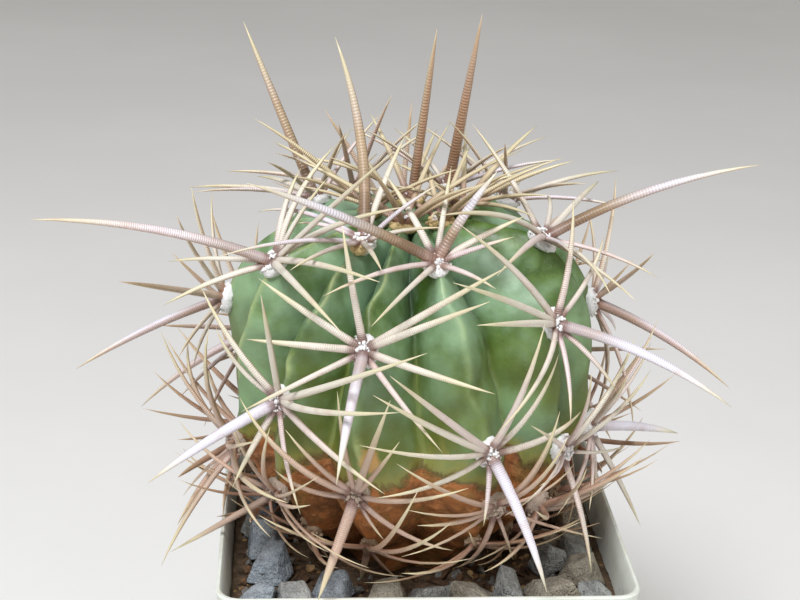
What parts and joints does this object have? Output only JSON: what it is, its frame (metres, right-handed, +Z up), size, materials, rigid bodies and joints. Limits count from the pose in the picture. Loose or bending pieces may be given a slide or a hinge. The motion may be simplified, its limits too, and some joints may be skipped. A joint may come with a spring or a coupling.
{
  "type": "potted barrel cactus",
  "caption": "Ribbed barrel cactus with long curved spines in a square plastic nursery pot with soil and loose gravel.",
  "frame": {"origin": "middle of the pot's underside", "axes": "+Z up, +Y away from the picture's camera, square to the pot's sides"},
  "size_m": [0.1518, 0.1511, 0.1924],
  "materials": {
    "pot": "thin beige-grey moulded plastic, matte",
    "soil": "dark crumbly potting mix with bark and fibre",
    "gravel": "speckled grey angular crushed stone",
    "stem": "waxy green skin with a bloom, orange-brown cork at the base",
    "spines_young": "straw-yellow ringed horn with cream wool",
    "spines_grown": "pale pinkish-white ringed horn with straw tips and white wool",
    "spines_old": "dry tan-brown horn with grey wool"
  },
  "bodies": {
    "root": {"pot": "pot", "soil": "soil", "gravel_front": "gravel", "gravel_right": "gravel", "gravel_back": "gravel", "gravel_left": "gravel", "stem": "stem", "areole_1_1": "spines_young", "areole_1_2": "spines_grown", "areole_1_3": "spines_grown", "areole_1_4": "spines_old", "areole_2_1": "spines_grown", "areole_2_2": "spines_grown", "areole_2_3": "spines_grown", "areole_2_4": "spines_old", "areole_3_1": "spines_young", "areole_3_2": "spines_grown", "areole_3_3": "spines_grown", "areole_3_4": "spines_grown", "areole_4_1": "spines_grown", "areole_4_2": "spines_grown", "areole_4_3": "spines_old", "areole_4_4": "spines_old", "areole_5_1": "spines_young", "areole_5_2": "spines_grown", "areole_5_3": "spines_grown", "areole_5_4": "spines_old", "areole_6_1": "spines_grown", "areole_6_2": "spines_grown", "areole_6_3": "spines_old", "areole_6_4": "spines_old", "areole_7_1": "spines_grown", "areole_7_2": "spines_grown", "areole_7_3": "spines_grown", "areole_7_4": "spines_old", "areole_8_1": "spines_young", "areole_8_2": "spines_grown", "areole_8_3": "spines_grown", "areole_8_4": "spines_old", "areole_9_1": "spines_grown", "areole_9_2": "spines_grown", "areole_9_3": "spines_old", "areole_9_4": "spines_old", "areole_10_1": "spines_grown", "areole_10_2": "spines_grown", "areole_10_3": "spines_grown", "areole_10_4": "spines_old", "areole_11_1": "spines_young", "areole_11_2": "spines_grown", "areole_11_3": "spines_grown", "areole_11_4": "spines_old", "areole_12_1": "spines_grown", "areole_12_2": "spines_grown", "areole_12_3": "spines_old", "areole_12_4": "spines_old", "areole_13_1": "spines_grown", "areole_13_2": "spines_grown", "areole_13_3": "spines_grown", "areole_13_4": "spines_old"}
  },
  "joints": []
}
